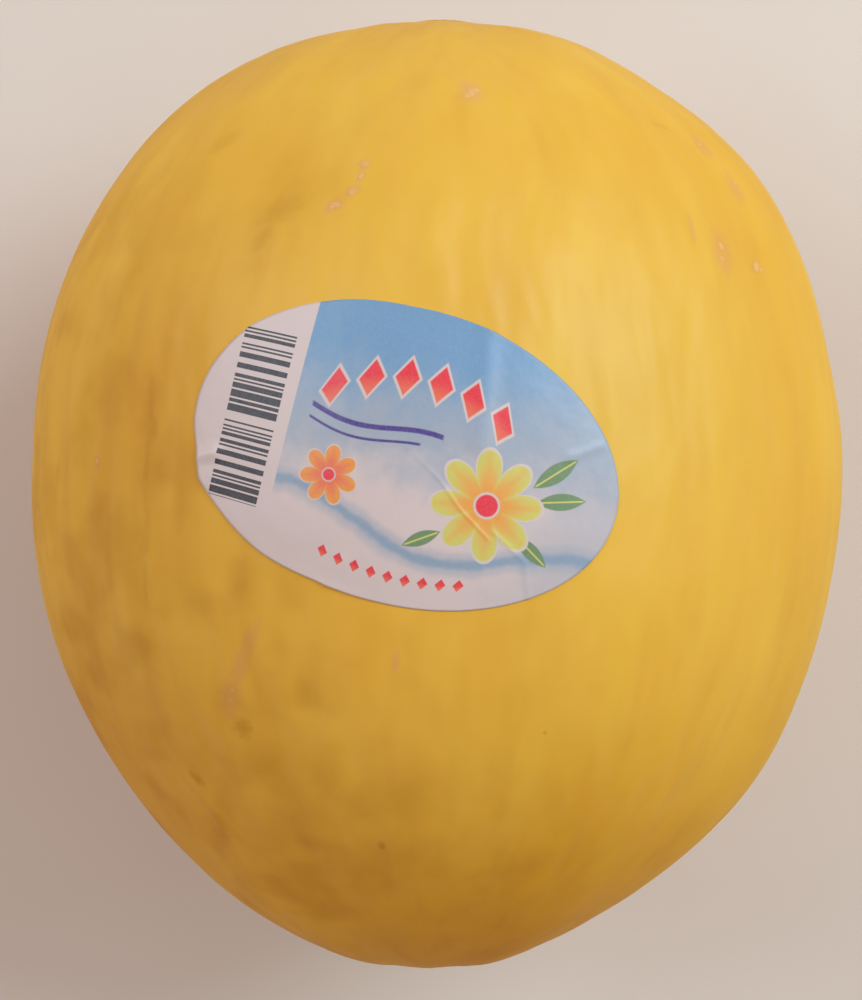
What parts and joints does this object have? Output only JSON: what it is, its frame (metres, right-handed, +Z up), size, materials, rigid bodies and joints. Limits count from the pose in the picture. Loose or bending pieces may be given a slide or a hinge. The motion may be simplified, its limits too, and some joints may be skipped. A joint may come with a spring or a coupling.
{
  "type": "honeydew melon",
  "caption": "Egg-shaped honeydew melon lying on its side, with a waxy golden rind, a corky blossom scar, a dry stalk stub in a shallow hollow and an oval paper sticker on top.",
  "frame": {"origin": "on the surface that the melon rests on, under the middle of the whole object's bounding box", "axes": "+Z up as the melon lies; +Y from the stem end to the blossom end, along the longest side; +X to the right when looking down with the blossom end away"},
  "size_m": [0.14, 0.1642, 0.1386],
  "materials": {
    "rind": "satin",
    "sticker_paper": "satin"
  },
  "bodies": {
    "root": {"melon": "rind", "sticker": "sticker_paper"}
  },
  "joints": []
}
